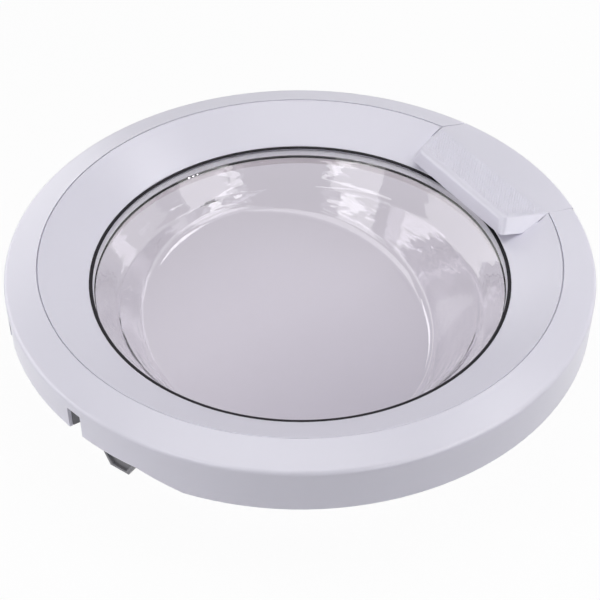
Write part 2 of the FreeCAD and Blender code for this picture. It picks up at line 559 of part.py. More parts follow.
def build_lever():
    """Pull handle: grip plate with sloped ends, a sector of the frame's crown, ears and pusher."""
    body = new_body("handle_lever")
    lean = "(lever_drop / tan(facet_slope))"
    run = f"({SEAM_X} - nose_x)"
    rise = "(handle_half - nose_half)"
    length = f"sqrt({run} ^ 2 + {rise} ^ 2)"
    out_x = f"({lean} * {rise} / {length})"
    out_y = f"({lean} * {run} / {length})"
    top = new_sketch(body, "grip_top", "XY_Plane", "crown_rise")
    add_outline(top, [
        (SEAM_X, "handle_half"), ("nose_x", "nose_half"),
        ("nose_x", "0 - nose_half"), (SEAM_X, "0 - handle_half"),
    ])
    foot = new_sketch(body, "grip_foot", "XY_Plane", "crown_rise - lever_drop")
    foot_x = "(nose_x - nose_lean)"
    foot_y = f"(nose_half + {out_y} - (nose_lean - {out_x}) * {rise} / {run})"
    add_outline(foot, [
        (SEAM_X, f"handle_half + {out_y} + {out_x} * {rise} / {run}"), (foot_x, foot_y),
        (foot_x, f"0 - {foot_y}"), (SEAM_X, f"0 - handle_half - {out_y} - {out_x} * {rise} / {run}"),
    ])
    grip = body.newObject("PartDesign::AdditiveLoft", "grip")
    grip.Profile = top
    grip.Sections = [foot]
    grip.Ruled = True
    checked(body, grip, False, 0)
    face = math.atan2(value("nose_lean"), value("lever_drop"))
    edge = FreeCAD.Vector(value("nose_x"), 0, value("crown_rise"))
    on_nose = on_plane(edge, FreeCAD.Vector(math.cos(face), 0, -math.sin(face)))
    foot_z = value("crown_rise - lever_drop")
    ease_edges(body, "nose", "nose_ease", lambda edge: on_nose(edge) and edge.BoundBox.ZMax > foot_z + PASS)

    far = f"rim_r + {CUT_MARGIN}"
    above = f"crown_rise + {CUT_MARGIN}"
    crown = rectangle(f"{SEAM_X} - {PASS}", far, "0 - handle_half", "handle_half")
    block(body, "crown_block", "XY_Plane", "0 - lever_skirt", crown, "crown_rise + lever_skirt")
    trim = new_sketch(body, "end_trim_outline", "XY_Plane", "0")
    for side, edge in (("handle_half", "rim_r"), ("0 - rim_r", "0 - handle_half")):
        add_outline(trim, rectangle("opening_r / 2", far, side, edge))
    extrude(body, "end_trim", trim, "2 * rim_r", cuts=True, symmetric=True)
    eased_r = "(rim_r - rim_ease)"
    revolve(body, "crown_surface", [
        ("seam_r", "crown_rise"), (eased_r, crown_z(eased_r)), ("rim_r", "0 - rim_ease"),
        ("rim_r", "0 - rim_r"), ("2 * rim_r", "0 - rim_r"), ("2 * rim_r", above), ("seam_r", above),
    ], cuts=True)
    slope = f"(crown_rise / (rim_r - {SEAM_X}))"
    fold = [
        (SEAM_X, "crown_rise"), (far, f"crown_rise - {slope} * ({far} - {SEAM_X})"),
        (far, above), (SEAM_X, above),
    ]
    block(body, "crown_fold", "XZ_Plane", "0", fold, cuts=True, symmetric=True)

    low_r = f"(nose_x - nose_lean - {CUT_MARGIN})"
    crest_r = f"(opening_r + opening_drop / {TRIM_SLOPE})"
    revolve(body, "trim_clearance", [
        (low_r, "0 - rim_r"), (low_r, f"{trim_z(low_r)} + lever_clear"), (crest_r, "lever_clear"),
        (SEAM_OUT, "lever_clear"), (SEAM_OUT, "0 - rim_r"),
    ], cuts=True)
    deep = "0 - rim_r"
    well_top = "(crown_rise - lever_skin)"
    cuts = {
        "well": ("well_half", rectangle("nose_x + lever_skin", f"{SEAM_X} + {PASS}", deep, well_top)),
        "ear_gap": ("rim_r", rectangle(f"{SEAM_X} - shell", "ear_x", deep, "lever_clear")),
    }
    back_x = "sqrt((rim_r - shell) ^ 2 - ear_half ^ 2)"
    mid_half = "(ear_half / 2)"
    front_x = f"sqrt((rim_r - shell) ^ 2 - {mid_half} ^ 2)"
    for name, half, end in (("ear_well", "ear_half", back_x), ("skirt_well", mid_half, front_x)):
        roof = f"{well_top} - {slope} * ({end} - {SEAM_X})"
        cuts[name] = (half, [(f"{SEAM_X}", deep), (SEAM_X, well_top), (end, roof), (end, deep)])
    for name, (half, outline) in cuts.items():
        block(body, name, "XZ_Plane", "0", outline, f"2 * {half}", cuts=True, symmetric=True)

    push_x = "(hook_x + tail_face + push_gap)"
    push_top = f"{well_top} - {slope} * ({push_x} - {SEAM_X}) + lever_skin / 2"
    pusher = rectangle(push_x, f"{push_x} + push_thick", "0 - push_half", "push_half")
    block(body, "hook_pusher", "XY_Plane", "0 - push_drop", pusher, f"push_drop + {push_top}")
    hole = new_sketch(body, "lever_pin_outline", "XZ_Plane")
    add_circle(hole, "pin_x", "0 - pin_drop", "pin_r + run_fit")
    extrude(body, "lever_pin_hole", hole, cuts=True, symmetric=True)
    return body


def build_pin(label, x, drop, radius, low, high):
    """Round steel pin along the door's height, from one end to the other."""
    body = new_body(label)
    sketch = new_sketch(body, f"{label}_outline", "XZ_Plane", f"0 - ({low})")
    add_circle(sketch, x, f"0 - {drop}", radius)
    extrude(body, f"{label}_rod", sketch, f"({high}) - ({low})", reverse=True)
    return body


def build_hook():
    """Latch hook: a thick profile with an eye, a tail and a nose that points inwards."""
    body = new_body("latch_hook")
    eye = new_sketch(body, "hook_eye_outline", "XZ_Plane")
    add_circle(eye, "hook_x", "0 - hook_drop", "hook_eye_r")
    extrude(body, "hook_eye", eye, "2 * hook_half", symmetric=True)
    left = "hook_x - hook_shank / 2"
    right = "hook_x + hook_shank / 2"
    foot = "0 - hook_drop - hook_length"
    shank = [
        (left, "0 - hook_drop"), (left, f"{foot} + hook_tip"), (f"{left} - hook_nose", f"{foot} + hook_tip"),
        (f"{left} - hook_nose / 2", foot), (right, foot), (right, "0 - hook_drop"),
    ]
    block(body, "hook_shank_bar", "XZ_Plane", "0", shank, "2 * hook_half", symmetric=True)
    face = "hook_x + tail_face"
    tail = rectangle(f"{face} - tail_thick", face, "0 - hook_drop", "tail_rise - hook_drop")
    block(body, "hook_tail", "XZ_Plane", "0", tail, "2 * hook_half", symmetric=True)
    hole = new_sketch(body, "hook_bore_outline", "XZ_Plane")
    add_circle(hole, "hook_x", "0 - hook_drop", "hook_pin_r + run_fit")
    extrude(body, "hook_bore", hole, cuts=True, symmetric=True)
    return body


def coil_points(centre, radius, wire_r, turns):
    """Return points round a coil about a line along +Y, which starts and ends on its -X side."""
    points = []
    for step in range(int(turns * COIL_STEPS) + 1):
        angle = math.radians(180 + step * 360 / COIL_STEPS)
        along = step / COIL_STEPS * COIL_PITCH * wire_r
        offset = FreeCAD.Vector(radius * math.cos(angle), along, radius * math.sin(angle))
        points.append(centre + offset)
    return points


def add_spring(label, points, wire_r):
    """Bend a round wire through points and add it as a piece of its own."""
    start = points[0]
    round_section = Part.makeCircle(wire_r, start, points[1] - start)
    section = Part.makePolygon(round_section.discretize(WIRE_SIDES + 1))
    mitred = 1
    spring = doc.addObject("Part::Feature", label)
    spring.Label = label
    spring.Shape = Part.makePolygon(points).makePipeShell([section], True, False, mitred)
    spring.Placement = FreeCAD.Placement(
        FreeCAD.Vector(value("hinge_x"), 0, value(INSERT_SEAT)), FreeCAD.Rotation())
    return spring


def build_handle_spring():
    """Torsion spring on the handle pin: one leg on the cup's back, one under the crown."""
    radius = value("spring_coil_r")
    wire_r = value("spring_wire_r")
    centre = FreeCAD.Vector(value("pin_x"), value("spring_y"), -value("pin_drop"))
    turns = coil_points(centre, radius, wire_r, value("spring_turns"))
    slope = value(f"crown_rise / (rim_r - {SEAM_X})")
    roof = value("crown_rise - lever_skin") - slope * (turns[0].x - value(SEAM_X))
    top = FreeCAD.Vector(turns[0].x, turns[0].y, roof - value("fit_gap"))
    foot = FreeCAD.Vector(turns[-1].x, turns[-1].y, -value("cup_floor"))
    back = FreeCAD.Vector(value(TRIM_CUT_X), foot.y, foot.z)
    return add_spring("handle_spring", [top, *turns, foot, back], wire_r)


def build_hook_spring():
    """Torsion spring on the hook's pin: one leg on the box, one behind the hook's tail."""
    radius = value("hook_coil_r")
    wire_r = value("hook_wire_r")
    centre = FreeCAD.Vector(value("hook_x"), value("hook_half + box_gap + hook_wire_r"), -value("hook_drop"))
    turns = coil_points(centre, radius, wire_r, value("hook_turns"))
    tail_back = value("hook_x + tail_face - tail_thick - hook_wire_r - pin_fit")
    bend = FreeCAD.Vector(tail_back, turns[0].y, value("tail_rise - hook_drop - 2 * hook_wire_r"))
    across = FreeCAD.Vector(bend.x, -value("hook_half"), bend.z)
    wall_x = value("box_back_x + box_wall + hook_wire_r")
    foot = FreeCAD.Vector(wall_x, turns[-1].y, value(f"{2 * PASS} - {PLATE_TOP}"))
    return add_spring("hook_spring", [across, bend, *turns, foot], wire_r)


def build_screws():
    """Equal flat-head screws that hold the two frames together, as one group."""
    screws = []
    for index, (across, along) in enumerate(screw_spots(), 1):
        shank = doc.addObject("Part::Prism", f"screw_shank_{index}")
        shank.setExpression("Circumradius", bound("screw_r"))
        shank.setExpression("Height", bound("screw_length"))
        head = doc.addObject("Part::Prism", f"screw_head_{index}")
        head.setExpression("Circumradius", bound("head_r"))
        head.setExpression("Height", bound("head_height"))
        for piece, height in ((shank, "0 - rim_depth"), (head, "0 - rim_depth - head_height")):
            piece.Polygon = SCREW_SIDES
            piece.setExpression("Placement.Base.x", bound(f"hinge_x + {across}"))
            piece.setExpression("Placement.Base.y", bound(along))
            piece.setExpression("Placement.Base.z", bound(f"{height} + {INSERT_SEAT}"))
        screw = doc.addObject("Part::Fuse", f"screw_{index}")
        screw.Base = head
        screw.Tool = shank
        screws.append(screw)
    group = doc.addObject("Part::Compound", "frame_screws")
    group.Label = "frame_screws"
    group.Links = screws
    return group


def main():
    """Build every piece, check the document and write one file for each piece."""
    pin_end = f"({SPLIT_Y} + cheek)"
    box_near = "(0 - hook_half - box_gap - box_wall)"
    box_far = f"(hook_half + box_gap + {SPRING_ROOM} + box_wall)"
    pieces = [
        build_outer_frame(), build_trim_ring(), build_gasket(), build_glass(), build_rear_frame(),
        build_insert("hinge_insert_upper", "arm_y"), build_insert("hinge_insert_lower", "0 - arm_y"),
        build_lever(), build_pin("handle_pin", "pin_x", "pin_drop", "pin_r", f"0 - {pin_end}", pin_end),
        build_handle_spring(), build_hook(),
        build_pin("hook_pin", "hook_x", "hook_drop", "hook_pin_r", box_near, box_far),
        build_hook_spring(), build_screws(),
    ]
    doc.recompute()
    failed = [item.Name for item in doc.Objects if {"Invalid", "Error"} & set(item.State)]
    if failed:
        raise RuntimeError(f"objects failed: {failed}")
    os.makedirs("parts", exist_ok=True)
    for piece in pieces:
        if piece.Shape.isNull() or not piece.Shape.isValid():
            raise RuntimeError(f"{piece.Label} has no valid shape")
        piece.Shape.exportStep(f"parts/{piece.Label}.step")
        print(piece.Label, len(piece.Shape.Solids), "solid(s)", round(piece.Shape.Volume / 1000, 1), "cm3")


main()
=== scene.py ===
"""Washing machine door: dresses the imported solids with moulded, pressed and bent pieces.

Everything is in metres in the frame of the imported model. Sizes of pieces are written in
millimetres, about the door's own axis: radii from the axis, heights from the rim's front edge.
"""
from __future__ import annotations

import json
import logging
import math
from collections.abc import Callable, Sequence
from dataclasses import dataclass
from enum import Enum

import bmesh
import bpy
from mathutils import Matrix, Vector

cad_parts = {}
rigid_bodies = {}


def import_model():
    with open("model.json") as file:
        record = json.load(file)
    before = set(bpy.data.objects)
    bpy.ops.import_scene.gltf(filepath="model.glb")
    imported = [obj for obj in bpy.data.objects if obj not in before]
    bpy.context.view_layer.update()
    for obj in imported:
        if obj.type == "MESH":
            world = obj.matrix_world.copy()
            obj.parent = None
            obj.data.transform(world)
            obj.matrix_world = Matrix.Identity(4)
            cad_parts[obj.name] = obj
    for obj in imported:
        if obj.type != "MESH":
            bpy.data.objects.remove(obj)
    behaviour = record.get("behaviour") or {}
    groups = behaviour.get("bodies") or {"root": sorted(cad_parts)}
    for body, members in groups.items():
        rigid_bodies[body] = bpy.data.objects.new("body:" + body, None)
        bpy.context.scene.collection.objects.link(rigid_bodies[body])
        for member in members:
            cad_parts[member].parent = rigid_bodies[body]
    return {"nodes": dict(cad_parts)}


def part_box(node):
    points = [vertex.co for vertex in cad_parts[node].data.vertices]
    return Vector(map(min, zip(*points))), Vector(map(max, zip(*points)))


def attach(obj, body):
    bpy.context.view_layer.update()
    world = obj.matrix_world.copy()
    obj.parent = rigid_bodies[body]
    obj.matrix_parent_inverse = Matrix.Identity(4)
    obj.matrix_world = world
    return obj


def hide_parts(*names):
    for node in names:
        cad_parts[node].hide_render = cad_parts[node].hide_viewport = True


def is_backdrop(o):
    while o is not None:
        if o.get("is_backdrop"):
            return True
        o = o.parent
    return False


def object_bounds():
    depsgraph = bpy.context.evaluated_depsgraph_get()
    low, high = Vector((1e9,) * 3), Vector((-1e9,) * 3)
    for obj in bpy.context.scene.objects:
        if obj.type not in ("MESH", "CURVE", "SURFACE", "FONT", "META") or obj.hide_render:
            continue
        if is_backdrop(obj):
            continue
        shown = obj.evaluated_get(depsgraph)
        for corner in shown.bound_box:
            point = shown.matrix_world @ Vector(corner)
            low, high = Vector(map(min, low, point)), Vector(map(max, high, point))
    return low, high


LOG = logging.getLogger("washer_door")
MM = 0.001
RING_STEPS = 256
MERGE_MM = 1e-5
SMOOTH_LIMIT = math.radians(30)
# places of the Mix node's colour sockets, whose names repeat
MIX_SHARE = 0
MIX_FIRST = 6
MIX_SECOND = 7
MIX_OUT = 2
# heights and radii of the door, in millimetres
CROWN_RISE_MM = 6.2
FLANGE_R = 170.0
RIM_EDGE_R = 214.5
RIM_EDGE_Z = (-3.0, 2.0)
TRIM_EDGE_R = 159.0
TRIM_EDGE_Z = -17.0
TRIM_CREST_Z = 5.0
# camera fitted to the photograph, in metres
CAMERA_EYE = (-0.2367, -0.6745, 0.6713)
CAMERA_TARGET = (0.1642, -0.0452, 0.0055)
Colour = tuple[float, float, float, float]
Socket = bpy.types.NodeSocket


class Body(Enum):
    """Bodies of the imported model."""

    DOOR = "door"
    HANDLE = "handle"
    HOOK = "hook"


class Slot(Enum):
    """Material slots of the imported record."""

    WHITE = "white_abs"
    GREY = "grey_plastic"
    GLASS = "clear_glass"
    RUBBER = "seal_rubber"
    ZINC = "zinc_steel"
    STEEL = "bright_steel"


def linear(hex_colour: str) -> Colour:
    """Turn an sRGB hex colour into linear values.

    Args:
        hex_colour: six hex digits after a hash sign.

    Returns:
        Linear red, green and blue, with an alpha of 1.
    """
    channels = [int(hex_colour[place:place + 2], 16) / 255 for place in (1, 3, 5)]
    red, green, blue = [
        value / 12.92 if value <= 0.04045 else ((value + 0.055) / 1.055) ** 2.4 for value in channels
    ]
    return red, green, blue, 1.0


def add_node(tree: bpy.types.NodeTree, kind: str, inputs: dict[str | int, object] | None = None,
             **settings: object) -> bpy.types.Node:
    """Add a node with its settings, values and links.

    Args:
        tree: node tree that takes the node.
        kind: Blender's name for the node type.
        inputs: values or output sockets by input name or place.
        settings: attributes of the node itself.

    Returns:
        The new node.
    """
    node = tree.nodes.new(kind)
    for name, setting in settings.items():
        setattr(node, name, setting)
    for key, entry in (inputs or {}).items():
        if isinstance(entry, Socket):
            tree.links.new(entry, node.inputs[key])
        else:
            node.inputs[key].default_value = entry
    return node


def per_mm(size_mm: float) -> float:
    """Return the texture scale whose pattern repeats about every size_mm."""
    return 1 / (size_mm * MM)


class Finish:
    """A material that is built once and then shared."""

    name: str

    def material(self) -> bpy.types.Material:
        """Return this finish as a material, made on first use.

        Returns:
            The material.
        """
        found = bpy.data.materials.get(self.name)
        if found:
            return found
        made = bpy.data.materials.new(self.name)
        made.use_nodes = True
        tree = made.node_tree
        tree.nodes.clear()
        shader = add_node(tree, "ShaderNodeBsdfPrincipled")
        add_node(tree, "ShaderNodeOutputMaterial", {"Surface": shader.outputs["BSDF"]})
        spot = add_node(tree, "ShaderNodeTexCoord").outputs["Object"]
        self.dress(tree, shader, spot)
        return made

    def dress(self, tree: bpy.types.NodeTree, shader: bpy.types.Node, spot: Socket) -> None:
        """Set the shader's sockets; each finish has its own way."""
        raise NotImplementedError


@dataclass(frozen=True)
class MouldedPlastic(Finish):
    """Injection-moulded plastic: an even colour with a faint orange-peel skin and soft gloss."""

    name: str
    colour: str
    shade: str
    roughness: float
    ior: float = 1.53
    # the real peel is finer; it is drawn about a pixel wide so that it shows
    grain_mm: float = 0.9
    grain_depth_mm: float = 0.012
    cloud_mm: float = 60.0
    gloss_drift: float = 0.05

    def dress(self, tree: bpy.types.NodeTree, shader: bpy.types.Node, spot: Socket) -> None:
        """Set colour drift, gloss drift and a fine moulded grain.

        Args:
            tree: node tree of the material.
            shader: its shader.
            spot: place on the piece, in metres.
        """
        cloud = add_node(tree, "ShaderNodeTexNoise", {"Vector": spot, "Scale": per_mm(self.cloud_mm)})
        tint = add_node(tree, "ShaderNodeMix", {
            MIX_SHARE: cloud.outputs["Fac"], MIX_FIRST: linear(self.shade), MIX_SECOND: linear(self.colour),
        }, data_type="RGBA")
        gloss = add_node(tree, "ShaderNodeMapRange", {
            "Value": cloud.outputs["Fac"], "To Min": self.roughness - self.gloss_drift,
            "To Max": self.roughness + self.gloss_drift,
        })
        grain = add_node(tree, "ShaderNodeTexNoise", {
            "Vector": spot, "Scale": per_mm(self.grain_mm), "Detail": 3.0,
        })
        skin = add_node(tree, "ShaderNodeBump", {
            "Height": grain.outputs["Fac"], "Distance": self.grain_depth_mm * MM,
        })
        for name, socket in (("Base Color", tint.outputs[MIX_OUT]), ("Roughness", gloss.outputs[0]),
                             ("Normal", skin.outputs[0])):
            tree.links.new(socket, shader.inputs[name])
        shader.inputs["IOR"].default_value = self.ior


@dataclass(frozen=True)
class PressedGlass(Finish):
    """Pressed soda-lime glass: clear with a pale violet-grey cast, a faintly wavy skin and painted shade
    low in the bowl.
    """

    name: str = "pressed_soda_lime_glass"
    ior: float = 1.5
    colour: str = "#C9C4CE"
    # painted shade: the tint turns to this darker colour towards the bowl's lowest part, between these
    # heights
    deep: str = "#B2ADB8"
    painted_shade_heights_mm: tuple[float, float] = (-104.0, -75.0)
    ripple_mm: tuple[float, float, float] = (20.0, 20.0, 7.0)
    ripple_depth_mm: float = 0.18

    def dress(self, tree: bpy.types.NodeTree, shader: bpy.types.Node, spot: Socket) -> None:
        """Set clear refraction with the ripples that a turned mould leaves round the wall.

        Args:
            tree: node tree of the material.
            shader: its shader.
            spot: place on the piece, in metres.
        """
        round_wall = add_node(tree, "ShaderNodeMapping", {
            "Vector": spot, "Scale": tuple(per_mm(size) for size in self.ripple_mm),
        })
        ripples = add_node(tree, "ShaderNodeTexNoise", {
            "Vector": round_wall.outputs[0], "Scale": 1.0, "Detail": 1.0,
        })
        skin = add_node(tree, "ShaderNodeBump", {
            "Height": ripples.outputs["Fac"], "Distance": self.ripple_depth_mm * MM,
        })
        tree.links.new(skin.outputs[0], shader.inputs["Normal"])
        # painted shade: the glass is tinted darker towards the bottom of the bowl
        height = add_node(tree, "ShaderNodeSeparateXYZ", {"Vector": spot}).outputs["Z"]
        unshaded_share = add_node(tree, "ShaderNodeMapRange", {
            "Value": height, "From Min": self.painted_shade_heights_mm[0] * MM, "From Max": self.painted_shade_heights_mm[1] * MM,
        })
        tint = add_node(tree, "ShaderNodeMix", {
            MIX_SHARE: unshaded_share.outputs[0], MIX_FIRST: linear(self.deep), MIX_SECOND: linear(self.colour),
        }, data_type="RGBA")
        tree.links.new(tint.outputs[MIX_OUT], shader.inputs["Base Color"])
        shader.inputs["Roughness"].default_value = 0.0
        shader.inputs["IOR"].default_value = self.ior
        shader.inputs["Transmission Weight"].default_value = 1.0


@dataclass(frozen=True)
class SealRubber(Finish):
    """Moulded rubber: dull, with a dusty bloom that turns it paler in patches."""

    name: str
    colour: str
    bloom: str
    bloom_mm: float = 5.0
    skin_mm: float = 0.02
    roughness: float = 0.75
    sheen_level: float = 0.2

    def dress(self, tree: bpy.types.NodeTree, shader: bpy.types.Node, spot: Socket) -> None:
        """Set a dull colour with a cloudy bloom and a rough skin.

        Args:
            tree: node tree of the material.
            shader: its shader.
            spot: place on the piece, in metres.
        """
        bloom = add_node(tree, "ShaderNodeTexNoise", {
            "Vector": spot, "Scale": per_mm(self.bloom_mm), "Detail": 4.0,
        })
        tint = add_node(tree, "ShaderNodeMix", {
            MIX_SHARE: bloom.outputs["Fac"], MIX_FIRST: linear(self.colour), MIX_SECOND: linear(self.bloom),
        }, data_type="RGBA")
        skin = add_node(tree, "ShaderNodeBump", {
            "Height": bloom.outputs["Fac"], "Distance": self.skin_mm * MM,
        })
        tree.links.new(tint.outputs[MIX_OUT], shader.inputs["Base Color"])
        tree.links.new(skin.outputs[0], shader.inputs["Normal"])
        shader.inputs["Roughness"].default_value = self.roughness
        shader.inputs["Specular IOR Level"].default_value = self.sheen_level


@dataclass(frozen=True)
class PlatedSteel(Finish):
    """Steel with a worked surface: plated blanks are cloudy, drawn wire and ground pins streaky."""

    name: str
    colour: str
    dull: str
    roughness: float
    streak_mm: tuple[float, float, float]
    gloss_drift: float = 0.1
    skin_mm: float = 0.01

    def dress(self, tree: bpy.types.NodeTree, shader: bpy.types.Node, spot: Socket) -> None:
        """Set metal with streaks or clouds in colour, gloss and height.

        Args:
            tree: node tree of the material.
            shader: its shader.
            spot: place on the piece, in metres.
        """
        turned = add_node(tree, "ShaderNodeMapping", {
            "Vector": spot, "Scale": tuple(per_mm(size) for size in self.streak_mm),
        })
        streak = add_node(tree, "ShaderNodeTexNoise", {
            "Vector": turned.outputs[0], "Scale": 1.0, "Detail": 3.0,
        })
        tint = add_node(tree, "ShaderNodeMix", {
            MIX_SHARE: streak.outputs["Fac"], MIX_FIRST: linear(self.dull), MIX_SECOND: linear(self.colour),
        }, data_type="RGBA")
        gloss = add_node(tree, "ShaderNodeMapRange", {
            "Value": streak.outputs["Fac"], "To Min": self.roughness + self.gloss_drift,
            "To Max": self.roughness - self.gloss_drift,
        })
        skin = add_node(tree, "ShaderNodeBump", {
            "Height": streak.outputs["Fac"], "Distance": self.skin_mm * MM,
        })
        for name, socket in (("Base Color", tint.outputs[MIX_OUT]), ("Roughness", gloss.outputs[0]),
                             ("Normal", skin.outputs[0])):
            tree.links.new(socket, shader.inputs[name])
        shader.inputs["Metallic"].default_value = 1.0


# even cool white with a soft gloss that the peel of its skin just breaks up
WHITE_ABS = MouldedPlastic("gloss_moulded_white_abs", "#E6E4F0", "#E4E2EE", 0.3)
# neutral grey that stays dull in the rim's shadow
GREY_PLASTIC = MouldedPlastic("matt_moulded_grey_polypropylene", "#8C8B8F", "#807F84", 0.5)
# clear with a violet-grey cast, wavy lamp reflections and painted shade that darkens the bowl's lowest part
CLEAR_GLASS = PressedGlass()
# pale band under the gasket that keeps the flange from looking dark
FLANGE_ENAMEL = MouldedPlastic("fired_pale_enamel", "#F2F0F5", "#E9E7EC", 0.35)
# near black and dull: the dark line round the opening
DARK_SEAL = SealRubber("moulded_epdm_rubber", "#151318", "#211E24")
# pale and dull: the light band inside the dark line
PALE_SEAL = SealRubber("moulded_white_silicone", "#DAD7E0", "#E6E4EC")
# off-white and dull, seen only through the glass
CREAM_TAPE = SealRubber("pressed_cream_foam_tape", "#DEDDD6", "#E4E3DC")
# cloudy grey metal with soft highlights
ZINC = PlatedSteel("zinc_plated_pressed_steel", "#C9C9C4", "#A3A4A0", 0.38, (3.0, 3.0, 3.0))
# bright metal with fine streaks along the rod
STEEL = PlatedSteel("ground_bright_steel", "#D6D7D8", "#B4B6B8", 0.25, (0.4, 8.0, 0.4))


@dataclass(frozen=True)
class DoorAxis:
    """The door's own axis in the frame, read from the rim."""

    x: float
    front: float

    @classmethod
    def from_frame(cls, crown_rise_mm: float) -> DoorAxis:
        """Read the axis from the outer frame's box.

        Args:
            crown_rise_mm: height of the crest above the rim's front edge.

        Returns:
            The axis.
        """
        low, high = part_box("outer_frame")
        return cls((low.x + high.x) / 2, high.z - crown_rise_mm * MM)

    def place(self) -> Matrix:
        """Return the matrix from millimetres about the axis to metres in the frame."""
        return Matrix.Translation((self.x, 0, self.front)) @ Matrix.Scale(MM, 4)

    def reach(self, spot: Vector) -> tuple[float, float]:
        """Return a spot's radius and height in millimetres about the axis."""
        return math.hypot(spot.x - self.x, spot.y) / MM, (spot.z - self.front) / MM


def add_piece(shape: bmesh.types.BMesh, name: str, finish: Finish, body: Body, slot: Slot,
              replaces: Sequence[str] = ()) -> bpy.types.Object:
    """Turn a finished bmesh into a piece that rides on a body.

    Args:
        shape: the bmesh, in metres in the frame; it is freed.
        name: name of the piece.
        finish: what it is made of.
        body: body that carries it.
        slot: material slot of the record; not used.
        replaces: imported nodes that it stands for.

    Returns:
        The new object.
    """
    mesh = bpy.data.meshes.new(name)
    shape.to_mesh(mesh)
    shape.free()
    mesh.shade_smooth()
    mesh.set_sharp_from_angle(angle=SMOOTH_LIMIT)
    piece = bpy.data.objects.new(name, mesh)
    bpy.context.scene.collection.objects.link(piece)
    mesh.materials.append(finish.material())
    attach(piece, body.value)
    if replaces:
        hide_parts(*replaces)
    LOG.info("%s: %d faces on %s", name, len(mesh.polygons), body.value)
    return piece


def spin_ring(shape: bmesh.types.BMesh, outline: Sequence[tuple[float, float]],
              steps: int = RING_STEPS) -> None:
    """Turn a closed outline of radii and heights about the Z axis.

    Args:
        shape: bmesh that takes the ring.
        outline: radius and height of each corner, in order round the section.
        steps: faces round the ring.
    """
    corners = [shape.verts.new((radius, 0, height)) for radius, height in outline]
    edges = [shape.edges.new((corner, corners[place - 1])) for place, corner in enumerate(corners)]
    bmesh.ops.spin(shape, geom=[*corners, *edges], cent=(0, 0, 0), axis=(0, 0, 1), angle=math.tau,
                   steps=steps, use_merge=True, use_duplicate=False)
    bmesh.ops.remove_doubles(shape, verts=shape.verts, dist=MERGE_MM)
    bmesh.ops.recalc_face_normals(shape, faces=shape.faces)


def loft_rings(shape: bmesh.types.BMesh, places: Sequence[Matrix],
               steps: int) -> list[list[bmesh.types.BMVert]]:
    """Bridge a row of rings and close the last one.

    Args:
        shape: bmesh that takes the rings.
        places: matrix from a unit circle to each ring.
        steps: corners of a ring.

    Returns:
        The corners of each ring.
    """
    loops = [
        bmesh.ops.create_circle(shape, cap_ends=False, segments=steps, radius=1.0, matrix=place)["verts"]
        for place in places
    ]
    rims = [list({edge for corner in loop for edge in corner.link_edges}) for loop in loops]
    for upper, lower in zip(rims, rims[1:]):
        bmesh.ops.bridge_loops(shape, edges=[*upper, *lower])
    bmesh.ops.contextual_create(shape, geom=rims[-1])
    return loops


def close_up(shape: bmesh.types.BMesh, axis: DoorAxis) -> None:
    """Face a closed shape outwards and take it from millimetres to its place in the frame."""
    bmesh.ops.recalc_face_normals(shape, faces=shape.faces)
    bmesh.ops.transform(shape, matrix=axis.place(), verts=shape.verts)


def round_edges(piece: bpy.types.Object, width_mm: float, segments: int = 3) -> None:
    """Round the weighted edges of a piece and keep its flat faces flat.

    Args:
        piece: object whose mesh carries edge weights.
        width_mm: width of a round whose weight is 1.
        segments: faces across a round.
    """
    rounding = piece.modifiers.new("round_edges", "BEVEL")
    rounding.width = width_mm * MM
    rounding.segments = segments
    rounding.limit_method = "WEIGHT"
    rounding.use_clamp_overlap = False
    rounding.miter_outer = "MITER_ARC"
    level = piece.modifiers.new("level_faces", "WEIGHTED_NORMAL")
    level.keep_sharp = False
    level.weight = 100


def on_rim_edge(radius: float, height: float) -> bool:
    """Tell whether a spot is on the rim's outer front edge, which is well rounded."""
    return radius > RIM_EDGE_R and RIM_EDGE_Z[0] < height < RIM_EDGE_Z[1]


def on_trim_edge(radius: float, height: float) -> bool:
    """Tell whether a spot is on the trim ring's inner edge or on its crest."""
    return (radius < TRIM_EDGE_R and height > TRIM_EDGE_Z) or height > TRIM_CREST_Z


@dataclass(frozen=True)
class MouldedCopy:
    """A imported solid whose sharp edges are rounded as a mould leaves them."""

    node: str
    body: Body
    slot: Slot
    finish: Finish
    edge_mm: float = 0.3
    segments: int = 2
    merge_m: float = 2e-6
    merge_deg: float = 0.05
    soft_mm: float = 0.0
    soft_where: Callable[[float, float], bool] | None = None

    def edge_weight(self, edge: bmesh.types.BMEdge, axis: DoorAxis) -> float:
        """Return an edge's share of the widest round: soft rims, plain edges or none.

        Args:
            edge: edge of the merged copy.
            axis: the door's axis.

        Returns:
            The bevel weight.
        """
        if not edge.is_manifold or edge.calc_face_angle() < SMOOTH_LIMIT:
            return 0.0
        if not self.soft_where:
            return 1.0
        spots = [axis.reach(corner.co) for corner in edge.verts]
        return 1.0 if all(self.soft_where(*spot) for spot in spots) else self.edge_mm / self.soft_mm

    def build(self, nodes: dict[str, bpy.types.Object], axis: DoorAxis) -> None:
        """Copy the node, merge its triangles into faces and round its edges.

        Args:
            nodes: packed objects by name.
            axis: the door's axis.
        """
        shape = bmesh.new()
        shape.from_mesh(nodes[self.node].data)
        bmesh.ops.remove_doubles(shape, verts=shape.verts, dist=self.merge_m)
        bmesh.ops.dissolve_limit(shape, angle_limit=math.radians(self.merge_deg), verts=shape.verts,
                                 edges=shape.edges, use_dissolve_boundaries=False, delimit=set())
        weight = shape.edges.layers.float.new("bevel_weight_edge")
        for edge in shape.edges:
            edge[weight] = self.edge_weight(edge, axis)
        piece = add_piece(shape, f"{self.node}_moulded", self.finish, self.body, self.slot, [self.node])
        round_edges(piece, self.soft_mm or self.edge_mm, self.segments)


